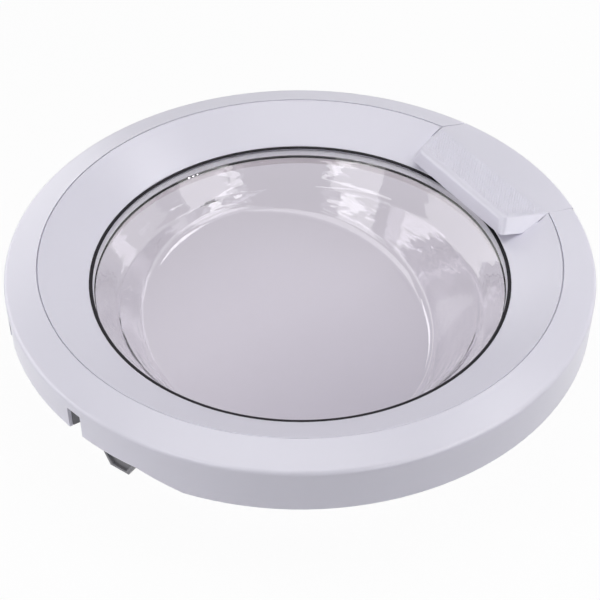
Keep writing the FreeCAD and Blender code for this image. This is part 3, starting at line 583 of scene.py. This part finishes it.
@dataclass(frozen=True)
class PullHandle:
    """Pull handle: a grip plate with sloped ends, and a sector of the frame's crown with its skirt."""

    axis: DoorAxis
    crest: float = 5.76
    fold_x: float = 180.5
    half: float = 67.0
    nose_x: float = 148.0
    nose_half: float = 53.0
    nose_lean: float = 5.0
    drop: float = 12.26
    facet_deg: float = 62.0
    foot_r: float = 171.5
    rim_r: float = 217.0
    skirt: float = 11.0
    skin: float = 2.6
    round_mm: float = 3.5
    round_segments: int = 5
    # share of the round that each kind of edge gets
    nose_share: float = 1.0
    fold_share: float = 0.8
    rim_share: float = 0.5
    end_share: float = 0.25
    edge_share: float = 0.1
    arc_steps: int = 28
    ear_width: float = 7.0
    eye_sides: int = 24
    ear_x: tuple[float, float] = (190.0, 205.0)
    pin: tuple[float, float, float] = (198.0, -6.0, 3.1)
    pusher_x: tuple[float, float] = (202.2, 204.7)
    pusher_half: float = 3.0
    pusher_drop: float = 16.0
    pusher_root: float = 2.0
    # real dots are finer; these are as coarse as they need to be to show
    dot_pitch: float = 2.7
    dot_half: float = 0.9
    dot_height: float = 0.46
    dot_sink: float = 0.03
    dot_sides: int = 4
    dot_taper: float = 3.0
    dot_margin: float = 1.5
    flat_slope: float = 0.3

    def end_corners(self, side: int) -> dict[str, Vector]:
        """Return the named corners at one end of the grip.

        Args:
            side: 1 or -1 along Y.

        Returns:
            Corners of the nose, the fold and the sloped end's foot.
        """
        along = Vector((self.fold_x - self.nose_x, self.half - self.nose_half)).normalized()
        lean = self.drop / math.tan(math.radians(self.facet_deg))
        foot = Vector((self.nose_x - lean * along.y, self.nose_half + lean * along.x))
        nose_foot = foot + along * ((self.nose_x - self.nose_lean - foot.x) / along.x)
        reach = -foot.dot(along) + math.sqrt(foot.dot(along) ** 2 - foot.length_squared + self.foot_r ** 2)
        inner = foot + along * reach
        low = self.crest - self.drop
        return {
            "nose": Vector((self.nose_x, side * self.nose_half, self.crest)),
            "nose_foot": Vector((nose_foot.x, side * nose_foot.y, low)),
            "inner_foot": Vector((inner.x, side * inner.y, low)),
            "skirt": Vector((self.fold_x, side * self.half, -self.skirt)),
        }

    def add_skin(self, shape: bmesh.types.BMesh) -> None:
        """Lay out the sheet of the handle's skin with a weight on each edge that is rounded.

        Args:
            shape: bmesh that takes the sheet.
        """
        weight = shape.edges.layers.float.new("bevel_weight_edge")
        ends = [
            {name: shape.verts.new(spot) for name, spot in self.end_corners(side).items()}
            for side in (-1, 1)
        ]
        turn = math.asin(self.half / self.rim_r)
        fold, rim, skirt = [], [], []
        for step in range(self.arc_steps + 1):
            share = 2 * step / self.arc_steps - 1
            angle = turn * share
            reach = Vector((self.rim_r * math.cos(angle), self.rim_r * math.sin(angle), 0))
            fold.append(shape.verts.new((self.fold_x, reach.y, self.crest)))
            rim.append(shape.verts.new(reach))
            skirt.append(shape.verts.new(reach - Vector((0, 0, self.skirt))))
        shape.faces.new([ends[1]["nose"], ends[0]["nose"], *fold])
        shape.faces.new([ends[0]["nose"], ends[1]["nose"], ends[1]["nose_foot"], ends[0]["nose_foot"]])
        for end, place in zip(ends, (0, -1)):
            shape.faces.new([end["nose"], fold[place], end["inner_foot"], end["nose_foot"]])
            shape.faces.new([fold[place], rim[place], skirt[place], end["skirt"]])
        for step in range(self.arc_steps):
            for upper, lower in ((fold, rim), (rim, skirt)):
                shape.faces.new([upper[step], upper[step + 1], lower[step + 1], lower[step]])
        bmesh.ops.recalc_face_normals(shape, faces=shape.faces)
        plate = max(shape.faces, key=lambda face: len(face.verts))
        if plate.normal.z < 0:
            bmesh.ops.reverse_faces(shape, faces=shape.faces)
        noses = {end[name] for end in ends for name in ("nose", "nose_foot")}
        for edge in shape.edges:
            pair = set(edge.verts)
            if not edge.is_manifold:
                continue
            if pair <= noses:
                edge[weight] = self.nose_share
            elif pair <= set(fold):
                edge[weight] = self.fold_share
            elif pair <= set(rim):
                edge[weight] = self.rim_share
            elif pair & noses:
                edge[weight] = self.end_share
            elif edge.calc_face_angle() > SMOOTH_LIMIT:
                edge[weight] = self.edge_share

    def add_ear(self, shape: bmesh.types.BMesh, side: int) -> None:
        """Add one ear with the eye in which the pin runs.

        Args:
            shape: bmesh that takes the ear.
            side: 1 or -1 along Y.
        """
        pin_x, pin_z, eye_r = self.pin
        inner = side * (self.half - self.ear_width)
        turns = [math.tau * (step + 0.5) / self.eye_sides for step in range(self.eye_sides)]
        eye = [shape.verts.new((pin_x + eye_r * math.cos(turn), inner, pin_z + eye_r * math.sin(turn)))
               for turn in turns]
        reach = (self.ear_x[1] - self.ear_x[0]) / 2
        block = []
        for turn in turns:
            stretch = min(reach / abs(math.cos(turn)), self.skirt / 2 / abs(math.sin(turn)))
            block.append(shape.verts.new((pin_x + stretch * math.cos(turn), inner,
                                          -self.skirt / 2 + stretch * math.sin(turn))))
        faces = [
            shape.faces.new([eye[step - 1], eye[step], block[step], block[step - 1]])
            for step in range(self.eye_sides)
        ]
        grown = bmesh.ops.extrude_face_region(shape, geom=faces)
        moved = [item for item in grown["geom"] if isinstance(item, bmesh.types.BMVert)]
        bmesh.ops.translate(shape, verts=moved, vec=(0, side * (self.ear_width - self.skin / 2), 0))

    def build(self) -> None:
        """Build the skin, the inner ears and pusher, and the dots of the grip."""
        skin = bmesh.new()
        self.add_skin(skin)
        bmesh.ops.transform(skin, matrix=self.axis.place(), verts=skin.verts)
        shell = add_piece(skin, "handle_skin", WHITE_ABS, Body.HANDLE, Slot.WHITE, ["handle_lever"])
        wall = shell.modifiers.new("wall", "SOLIDIFY")
        wall.thickness = self.skin * MM
        wall.offset = -1.0
        round_edges(shell, self.round_mm, self.round_segments)
        shell.modifiers.move(0, 1)
        shell.modifiers["level_faces"].keep_sharp = True
        for face in shell.data.polygons:
            face.use_smooth = min(abs(face.normal.y), face.normal.z) < self.flat_slope

        inner = bmesh.new()
        for side in (-1, 1):
            self.add_ear(inner, side)
        low, high = self.pusher_x
        tall = self.pusher_drop + self.pusher_root
        spot = Matrix.Translation(((low + high) / 2, 0, tall / 2 - self.pusher_drop))
        block = Matrix.Diagonal((high - low, 2 * self.pusher_half, tall, 1))
        bmesh.ops.create_cube(inner, size=1.0, matrix=spot @ block)
        close_up(inner, self.axis)
        add_piece(inner, "handle_ears", WHITE_ABS, Body.HANDLE, Slot.WHITE)

        dots = bmesh.new()
        deep = self.fold_x - self.nose_x - self.dot_margin * self.round_mm
        rows = int(deep / self.dot_pitch * 2)
        for row in range(rows):
            across = self.nose_x + self.round_mm + row * self.dot_pitch / 2
            share = (across - self.nose_x) / (self.fold_x - self.nose_x)
            edge = self.nose_half + (self.half - self.nose_half) * share - self.round_mm
            for column in range(int(edge / self.dot_pitch) + 1):
                along = (column + (row % 2) / 2) * self.dot_pitch
                for side in ((1, -1) if along else (1,)):
                    middle = self.crest + self.dot_height / 2 - self.dot_sink
                    spot = Matrix.Translation((across, side * along, middle))
                    bmesh.ops.create_cone(dots, cap_ends=True, segments=self.dot_sides,
                                          radius1=self.dot_half, radius2=self.dot_half / self.dot_taper,
                                          depth=self.dot_height, matrix=spot)
        bmesh.ops.transform(dots, matrix=self.axis.place(), verts=dots.verts)
        add_piece(dots, "grip_dots", WHITE_ABS, Body.HANDLE, Slot.WHITE)


@dataclass(frozen=True)
class GlassBowl:
    """Pressed bowl: flat flange, flared mouth, a fold, a conical wall and a slanted, rounded floor."""

    axis: DoorAxis
    top: float = -22.0
    thickness: float = 5.0
    flange_r: float = FLANGE_R
    lip_r: float = 155.4
    shoulder_round: float = 3.0
    fold_r: float = 138.9
    fold_depth: float = 19.8
    fold_tall: float = 2.0
    mouth_r: float = 150.1
    wall_deg: float = 31.3
    depth: float = 63.0
    floor_deg: float = 12.6
    floor_round: float = 9.5
    steps: int = RING_STEPS
    flare_rings: int = 5
    wall_rings: int = 12
    round_rings: int = 8
    floor_shares: tuple[float, ...] = (0.7, 0.4, 0.15)
    enamel_width: float = 1.0

    def ring(self, radius: float, height: float, tilt_deg: float = 0.0) -> Matrix:
        """Return the matrix of a flat round ring on the axis."""
        tilt = Matrix.Rotation(math.radians(tilt_deg), 4, "X")
        return Matrix.Translation((0, 0, height)) @ tilt @ Matrix.Diagonal((radius, radius, 1, 1))

    def wall_ring(self, depth: float, tilt_deg: float, inset: float = 0.0) -> Matrix:
        """Return the matrix of an ellipse where a tilted plane cuts the cone of the wall.

        Args:
            depth: depth of the plane on the axis, below the mouth.
            tilt_deg: slant of the plane about the X axis.
            inset: how far the ellipse is drawn in from the wall.

        Returns:
            Matrix that takes a unit circle to the ellipse.
        """
        tilt = math.radians(tilt_deg)
        spread = math.tan(math.radians(self.wall_deg))
        skew = spread * math.tan(tilt)
        radius = self.mouth_r - depth * spread
        tall = radius / ((1 - skew ** 2) * math.cos(tilt))
        wide = radius / math.sqrt(1 - skew ** 2)
        turn = Matrix.Translation((0, 0, self.top - depth)) @ Matrix.Rotation(tilt, 4, "X")
        oval = Matrix.Diagonal((wide - inset, tall - inset, 1, 1))
        return turn @ Matrix.Translation((0, tall * skew, 0)) @ oval

    def rings(self) -> list[Matrix]:
        """Lay out the rings of the upper surface, from the flange's edge to the middle of the floor.

        Returns:
            Matrices from a unit circle.
        """
        flare = math.atan2(self.fold_depth, self.lip_r - self.fold_r)
        found = [self.ring(self.flange_r, self.top)]
        start = self.lip_r + self.shoulder_round * math.tan(flare / 2)
        for step in range(self.round_rings + 1):
            angle = flare * step / self.round_rings
            sink = self.shoulder_round * (1 - math.cos(angle))
            found.append(self.ring(start - self.shoulder_round * math.sin(angle), self.top - sink))
        shoulder = self.shoulder_round * (1 - math.cos(flare))
        for step in range(1, self.flare_rings + 1):
            share = step / self.flare_rings
            sunk = shoulder + (self.fold_depth - shoulder) * share
            found.append(self.ring(self.lip_r - sunk / math.tan(flare), self.top - sunk))
        turn = math.radians(90 - self.wall_deg)
        spread = math.tan(math.radians(self.wall_deg))
        cosine = math.cos(math.radians(self.floor_deg))
        corner = self.floor_round * math.tan(turn / 2)
        start = self.fold_depth + self.fold_tall
        end = self.depth - self.floor_round * (1 - math.cos(turn)) / cosine
        found.append(self.wall_ring(start, 0.0))
        for step in range(1, self.wall_rings):
            share = step / self.wall_rings
            found.append(self.wall_ring(start + (end - start) * share, self.floor_deg * share))
        for step in range(self.round_rings, -1, -1):
            angle = turn * step / self.round_rings
            height = self.floor_round * (1 - math.cos(angle))
            inset = corner + height * spread - self.floor_round * math.sin(angle)
            found.append(self.wall_ring(self.depth - height / cosine, self.floor_deg, inset))
        flat = found[-1]
        found.extend(flat @ Matrix.Diagonal((share, share, 1, 1)) for share in self.floor_shares)
        return found

    def build(self) -> None:
        """Bridge the rings, close the floor and give the sheet its thickness."""
        shape = bmesh.new()
        loft_rings(shape, self.rings(), self.steps)
        bmesh.ops.recalc_face_normals(shape, faces=shape.faces)
        middle = max(shape.faces, key=lambda face: len(face.verts))
        if middle.normal.z < 0:
            bmesh.ops.reverse_faces(shape, faces=shape.faces)
        bmesh.ops.transform(shape, matrix=self.axis.place(), verts=shape.verts)
        for face in shape.faces:
            reach = [self.axis.reach(corner.co)[0] for corner in face.verts]
            face.material_index = int(max(reach) > self.flange_r - self.enamel_width)
        piece = add_piece(shape, "glass_bowl_pressed", CLEAR_GLASS, Body.DOOR, Slot.GLASS, ["glass_bowl"])
        piece.data.materials.append(FLANGE_ENAMEL.material())
        wall = piece.modifiers.new("wall", "SOLIDIFY")
        wall.thickness = self.thickness * MM
        wall.offset = -1.0
        wall.use_even_offset = True
        piece.visible_shadow = False


@dataclass(frozen=True)
class SealRings:
    """The gasket on the glass flange, the bead along the opening's edge and the pale liner of the seat."""

    axis: DoorAxis
    flange_r: float = FLANGE_R
    top: float = -20.0
    foot: float = -21.98
    lip: tuple[tuple[float, float], ...] = (
        (156.1, -20.0), (155.5, -20.4), (155.1, -21.1), (154.4, -22.3), (153.75, -23.35), (153.95, -23.6),
        (154.5, -23.0), (155.6, -22.2), (156.8, -21.98),
    )
    bead_r: float = 156.0
    bead_z: float = -17.3
    bead_size: tuple[float, float] = (1.6, 0.75)
    bead_sides: int = 16
    seat_r: float = 158.0
    liner: float = 0.6
    seat_foot: float = -34.4
    glass_foot: float = -27.9

    def build(self) -> None:
        """Turn the gasket, the bead and the liner."""
        gasket = bmesh.new()
        spin_ring(gasket, [(self.flange_r, self.top), *self.lip, (self.flange_r, self.foot)])
        bead = bmesh.new()
        wide, tall = self.bead_size
        turns = [math.tau * side / self.bead_sides for side in range(self.bead_sides)]
        spin_ring(bead, [
            (self.bead_r + wide * math.cos(turn), self.bead_z + tall * math.sin(turn)) for turn in turns
        ])
        liner = bmesh.new()
        inner = self.seat_r - self.liner
        spin_ring(liner, [
            (inner, self.seat_foot), (inner, self.glass_foot), (self.seat_r, self.glass_foot),
            (self.seat_r, self.seat_foot),
        ])
        for shape in (gasket, bead, liner):
            bmesh.ops.transform(shape, matrix=self.axis.place(), verts=shape.verts)
        add_piece(gasket, "glass_gasket_ring", PALE_SEAL, Body.DOOR, Slot.RUBBER, ["glass_gasket"])
        add_piece(bead, "opening_bead", DARK_SEAL, Body.DOOR, Slot.RUBBER)
        add_piece(liner, "glass_seat_liner", CREAM_TAPE, Body.DOOR, Slot.WHITE)


@dataclass(frozen=True)
class FrameScrews:
    """Six pan-head screws with a cross recess that hold the rear frame from below."""

    axis: DoorAxis
    ring_r: float = 206.0
    turns_deg: tuple[float, ...] = (40.0, 88.0, 136.0, -40.0, -88.0, -136.0)
    profile: tuple[tuple[float, float], ...] = (
        (0.2, -18.6), (0.9, -19.0), (1.4, -20.2), (1.4, -34.4), (3.4, -34.5), (3.6, -34.75), (3.6, -35.4),
        (3.35, -36.0), (2.8, -36.4), (2.3, -36.5), (2.1, -36.45), (1.7, -35.2),
    )
    waist: float = 0.42
    arm_limit: float = 0.8
    steps: int = 32

    def build(self) -> None:
        """Loft each screw from its point to the floor of its recess, all in one piece."""
        shape = bmesh.new()
        for turn_deg in self.turns_deg:
            turn = math.radians(turn_deg)
            spot = Vector((self.ring_r * math.cos(turn), self.ring_r * math.sin(turn), 0))
            places = [
                Matrix.Translation(spot + Vector((0, 0, height))) @ Matrix.Diagonal((radius, radius, 1, 1))
                for radius, height in self.profile
            ]
            loops = loft_rings(shape, places, self.steps)
            bmesh.ops.contextual_create(shape, geom=loops[0])
            for loop in loops[-2:]:
                for corner in loop:
                    away = corner.co - spot
                    arm = abs(math.cos(2 * math.atan2(away.y, away.x)))
                    if arm < self.arm_limit:
                        corner.co.xy = spot.xy + away.xy * self.waist
        close_up(shape, self.axis)
        add_piece(shape, "frame_screws_pan_head", ZINC, Body.DOOR, Slot.ZINC, ["frame_screws"])


def wire_places(path: Sequence[Vector], radius: float) -> list[Matrix]:
    """Return the matrix of a ring square to the path at each of its points.

    Args:
        path: points of the wire's middle line.
        radius: radius of the wire.

    Returns:
        Matrices from a unit circle.
    """
    places = []
    for index, spot in enumerate(path):
        ahead = path[min(index + 1, len(path) - 1)] - path[max(index - 1, 0)]
        turn = ahead.to_track_quat("Z", "Y").to_matrix().to_4x4()
        places.append(Matrix.Translation(spot) @ turn @ Matrix.Diagonal((radius, radius, 1, 1)))
    return places


@dataclass(frozen=True)
class PivotRod:
    """Ground steel rod along Y with a chamfer at each end."""

    node: str
    across: float
    height: float
    ends: tuple[float, float]
    radius: float
    chamfer: float = 0.4
    steps: int = 48

    def build(self, axis: DoorAxis) -> None:
        """Loft the rod.

        Args:
            axis: the door's axis.
        """
        start, end = self.ends
        shape = bmesh.new()
        rings = [
            (start, self.radius - self.chamfer), (start + self.chamfer, self.radius),
            (end - self.chamfer, self.radius), (end, self.radius - self.chamfer),
        ]
        lie = Matrix.Rotation(math.pi / 2, 4, "X")
        places = []
        for along, reach in rings:
            spot = Matrix.Translation((self.across, along, self.height))
            places.append(spot @ lie @ Matrix.Diagonal((reach, reach, 1, 1)))
        loops = loft_rings(shape, places, self.steps)
        bmesh.ops.contextual_create(shape, geom=loops[0])
        close_up(shape, axis)
        add_piece(shape, f"{self.node}_ground", STEEL, Body.DOOR, Slot.STEEL, [self.node])


@dataclass(frozen=True)
class TorsionSpring:
    """Coil on a pin whose first leg turns with a moving body."""

    node: str
    mover: Body
    centre: tuple[float, float, float]
    coil_r: float
    wire_r: float
    moving_leg: tuple[tuple[float, float, float], ...]
    fixed_leg: tuple[tuple[float, float, float], ...]
    turns: int = 4
    pitch: float = 2.1
    steps: int = 24
    sides: int = 12

    def coil(self) -> list[Vector]:
        """Lay out the coil, which starts and ends on its -X side.

        Returns:
            Points of the wire's middle line.
        """
        points = []
        for step in range(self.turns * self.steps + 1):
            angle = math.pi + math.tau * step / self.steps
            along = step / self.steps * self.pitch * self.wire_r
            points.append(Vector(self.centre) + Vector((
                self.coil_r * math.cos(angle), along, self.coil_r * math.sin(angle))))
        return points

    def build(self, axis: DoorAxis) -> None:
        """Loft the coil with its fixed leg, and the moving leg as a piece of its own.

        Args:
            axis: the door's axis.
        """
        coil = self.coil()
        rows = (
            ("coil", Body.DOOR, [*coil, *map(Vector, self.fixed_leg)], [self.node]),
            ("leg", self.mover, [*map(Vector, self.moving_leg), *coil[:2]], []),
        )
        for part, body, path, replaced in rows:
            shape = bmesh.new()
            loops = loft_rings(shape, wire_places(path, self.wire_r), self.sides)
            bmesh.ops.contextual_create(shape, geom=loops[0])
            close_up(shape, axis)
            add_piece(shape, f"{self.node}_{part}", STEEL, body, Slot.STEEL, replaced)


@dataclass(frozen=True)
class Softbox:
    """A soft lamp at some distance from the door, aimed at it."""

    name: str
    azimuth_deg: float
    height_deg: float
    size: tuple[float, float]
    watts: float
    mirrored: bool = True
    lit: bool = True

    def build(self, target: Vector, reach: float) -> None:
        """Add the lamp, which may be hidden from gloss or from dull surfaces.

        Args:
            target: spot that it is aimed at; the azimuth runs from +X towards +Y.
            reach: its distance from there.
        """
        data = bpy.data.lights.new(self.name, "AREA")
        data.shape = "RECTANGLE"
        data.size, data.size_y = self.size
        data.energy = self.watts
        lamp = bpy.data.objects.new(self.name, data)
        around = Matrix.Rotation(math.radians(self.azimuth_deg), 3, "Z")
        away = around @ Matrix.Rotation(math.radians(-self.height_deg), 3, "Y") @ Vector((reach, 0, 0))
        lamp.location = target + away
        lamp.rotation_mode = "QUATERNION"
        lamp.rotation_quaternion = (-away).to_track_quat("-Z", "Y")
        lamp.visible_glossy = self.mirrored
        lamp.visible_diffuse = self.lit
        bpy.context.scene.collection.objects.link(lamp)


def window(side: str, azimuth_deg: float, slats_deg: Sequence[float]) -> list[Softbox]:
    """Return a tall softbox that only gloss mirrors, with brighter slats across it.

    Args:
        side: word for its name.
        azimuth_deg: compass angle from the door.
        slats_deg: height angle of each slat.

    Returns:
        The softboxes.
    """
    pane = Softbox(f"{side}_window", azimuth_deg, height_deg=37.0, size=(0.75, 1.1), watts=6.5, lit=False)
    slats = [
        Softbox(f"{side}_slat_{height:.0f}", azimuth_deg, height, size=(1.3, 0.07), watts=1.2, lit=False)
        for height in slats_deg
    ]
    return [pane, *slats]


# those that aren't mirrored bring out the plastic's form, and those that don't light show in gloss alone
SOFTBOXES = (
    Softbox("top_panel", 180.0, 84.0, (1.4, 1.4), 14.0),
    Softbox("high_side_panel", -62.0, 55.0, (1.0, 0.6), 6.0, mirrored=False),
    Softbox("left_strip", -165.0, 29.0, (1.7, 0.2), 2.5, mirrored=False),
    Softbox("right_strip", -64.0, 27.0, (1.5, 0.2), 2.5, mirrored=False),
    Softbox("left_panel", 158.0, 14.0, (1.2, 0.5), 10.0, mirrored=False),
    Softbox("right_panel", -34.0, 14.0, (1.2, 0.5), 3.5, mirrored=False),
    Softbox("back_panel", 10.0, 20.0, (1.0, 0.5), 7.5, mirrored=False),
    *window("left", -162.0, (24.0, 33.0, 47.0)),
    *window("right", -58.0, (21.0, 30.0, 44.0)),
    Softbox("left_wall_panel", 122.0, 14.0, (3.4, 1.4), 29.0, lit=False),
    Softbox("right_wall_panel", -20.0, 13.0, (1.6, 1.0), 4.0, lit=False),
    Softbox("left_arc_lamp", -12.0, 55.0, (0.5, 0.4), 4.0, lit=False),
    Softbox("right_arc_lamp", 80.0, 60.0, (0.5, 0.4), 4.0, lit=False),
    Softbox("facet_lamp", -90.0, 15.0, (0.7, 0.5), 7.5, lit=False),
)


@dataclass(frozen=True)
class Studio:
    """White floor and world, soft lamps and the camera."""

    floor_z: float
    eye: Vector
    target: Vector
    lens: float = 84.3
    sensor: float = 36.0
    roll_deg: float = 0.19
    floor_size: float = 30.0
    floor_seen: float = 0.95
    floor_through_glass: float = 0.8
    fill_strength: float = 0.05
    lamp_reach: float = 1.8

    def seen(self, tree: bpy.types.NodeTree, direct: float, through_glass: float) -> Socket:
        """Return how white a surface shows to a ray, and 0 for light itself.

        Args:
            tree: node tree that takes the nodes.
            direct: share for rays from the camera or a reflection.
            through_glass: share for rays that came through glass.

        Returns:
            The share's socket.
        """
        path = add_node(tree, "ShaderNodeLightPath")
        first = add_node(tree, "ShaderNodeMath", {
            0: path.outputs["Is Camera Ray"], 1: path.outputs["Is Glossy Ray"],
        }, operation="MAXIMUM")
        plain = add_node(tree, "ShaderNodeMath", {0: first.outputs[0], 1: direct}, operation="MULTIPLY")
        return add_node(tree, "ShaderNodeMix", {
            "Factor": path.outputs["Is Transmission Ray"], "A": plain.outputs[0], "B": through_glass,
        }).outputs[0]

    def add_world(self) -> None:
        """Light the scene evenly, with a white background where it is seen."""
        world = bpy.data.worlds.new("studio")
        world.use_nodes = True
        tree = world.node_tree
        tree.nodes.clear()
        fill = add_node(tree, "ShaderNodeBackground", {
            "Color": linear("#F4F4FF"), "Strength": self.fill_strength,
        })
        white = add_node(tree, "ShaderNodeBackground", {"Color": linear("#FFFFFF"), "Strength": 1.0})
        both = add_node(tree, "ShaderNodeMixShader", {
            0: self.seen(tree, 1.0, 1.0), 1: fill.outputs[0], 2: white.outputs[0],
        })
        add_node(tree, "ShaderNodeOutputWorld", {"Surface": both.outputs[0]})
        bpy.context.scene.world = world

    def add_floor(self) -> None:
        """Lay a plain floor that shows white and still takes a faint shadow."""
        shape = bmesh.new()
        bmesh.ops.create_grid(shape, x_segments=1, y_segments=1, size=self.floor_size / 2)
        mesh = bpy.data.meshes.new("floor")
        shape.to_mesh(mesh)
        shape.free()
        floor = bpy.data.objects.new("floor", mesh)
        floor.location = (self.target.x, self.target.y, self.floor_z)
        bpy.context.scene.collection.objects.link(floor)
        made = bpy.data.materials.new("white_paper_floor")
        made.use_nodes = True
        tree = made.node_tree
        tree.nodes.clear()
        paper = add_node(tree, "ShaderNodeBsdfDiffuse", {"Color": linear("#F2F2F4")})
        glow = add_node(tree, "ShaderNodeEmission", {"Color": linear("#FFFFFF"), "Strength": 1.0})
        share = self.seen(tree, self.floor_seen, self.floor_through_glass)
        both = add_node(tree, "ShaderNodeMixShader", {0: share, 1: paper.outputs[0], 2: glow.outputs[0]})
        add_node(tree, "ShaderNodeOutputMaterial", {"Surface": both.outputs[0]})
        mesh.materials.append(made)
        floor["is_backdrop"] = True

    def add_camera(self) -> None:
        """Set the camera at the photograph's angle."""
        data = bpy.data.cameras.new("camera")
        data.lens = self.lens
        data.sensor_width = self.sensor
        camera = bpy.data.objects.new("camera", data)
        camera.location = self.eye
        camera.rotation_mode = "QUATERNION"
        aim = (self.target - self.eye).to_track_quat("-Z", "Y")
        roll = Matrix.Rotation(math.radians(self.roll_deg), 3, "Z").to_quaternion()
        camera.rotation_quaternion = aim @ roll
        bpy.context.scene.collection.objects.link(camera)
        bpy.context.scene.camera = camera

    def build(self) -> None:
        """Set up the whole studio."""
        bpy.context.scene.view_settings.view_transform = "Standard"
        self.add_world()
        self.add_floor()
        for softbox in SOFTBOXES:
            softbox.build(self.target, self.lamp_reach)
        self.add_camera()


def corner_list(corner: Vector) -> list[float]:
    """Return a corner as plain numbers."""
    return [float(value) for value in corner]


def main() -> None:
    """Load the frame, build every piece and the studio, with the floor under the imported model's box."""
    logging.basicConfig(level=logging.INFO, format="%(name)s %(message)s")
    for item in list(bpy.data.objects):
        bpy.data.objects.remove(item)
    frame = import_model()
    cad_box = [corner_list(corner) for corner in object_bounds()]
    nodes = frame["nodes"]
    axis = DoorAxis.from_frame(CROWN_RISE_MM)
    copies = [
        MouldedCopy("outer_frame", Body.DOOR, Slot.WHITE, WHITE_ABS, edge_mm=0.25, segments=4, soft_mm=1.1,
                    soft_where=on_rim_edge),
        MouldedCopy("trim_ring", Body.DOOR, Slot.WHITE, WHITE_ABS, edge_mm=0.25, segments=4, soft_mm=0.9,
                    soft_where=on_trim_edge),
        MouldedCopy("rear_frame", Body.DOOR, Slot.GREY, GREY_PLASTIC),
        MouldedCopy("latch_hook", Body.HOOK, Slot.ZINC, ZINC),
        MouldedCopy("hinge_insert_upper", Body.DOOR, Slot.ZINC, ZINC, edge_mm=0.2),
        MouldedCopy("hinge_insert_lower", Body.DOOR, Slot.ZINC, ZINC, edge_mm=0.2),
    ]
    for copy in copies:
        copy.build(nodes, axis)
    for assembly in (PullHandle(axis), GlassBowl(axis), SealRings(axis), FrameScrews(axis)):
        assembly.build()
    steel = [
        PivotRod("handle_pin", across=198.0, height=-6.0, ends=(-71.5, 71.5), radius=3.0),
        PivotRod("hook_pin", across=201.0, height=-24.0, ends=(-7.2, 13.5), radius=2.5),
        TorsionSpring(
            "handle_spring", Body.HANDLE, centre=(198.0, 40.0, -6.0), coil_r=4.6, wire_r=0.7,
            moving_leg=((193.4, 40.0, 0.6), (193.4, 40.0, -4.6)),
            fixed_leg=((193.4, 45.88, -13.0), (193.1, 45.88, -13.8), (192.4, 45.88, -14.0),
                       (187.6, 45.88, -14.0)),
        ),
        TorsionSpring(
            "hook_spring", Body.HOOK, centre=(201.0, 4.75, -24.0), coil_r=3.9, wire_r=0.55,
            moving_leg=((196.43, -3.4, -18.0), (196.43, 3.9, -18.0), (196.43, 4.5, -18.2),
                        (196.43, 4.75, -18.7), (197.0, 4.75, -22.6)),
            fixed_leg=((194.2, 9.37, -30.0),),
        ),
    ]
    for piece in steel:
        piece.build(axis)
    floor_z = cad_box[0][2]
    Studio(floor_z, Vector(CAMERA_EYE), Vector(CAMERA_TARGET)).build()


if __name__ == "__main__":
    main()
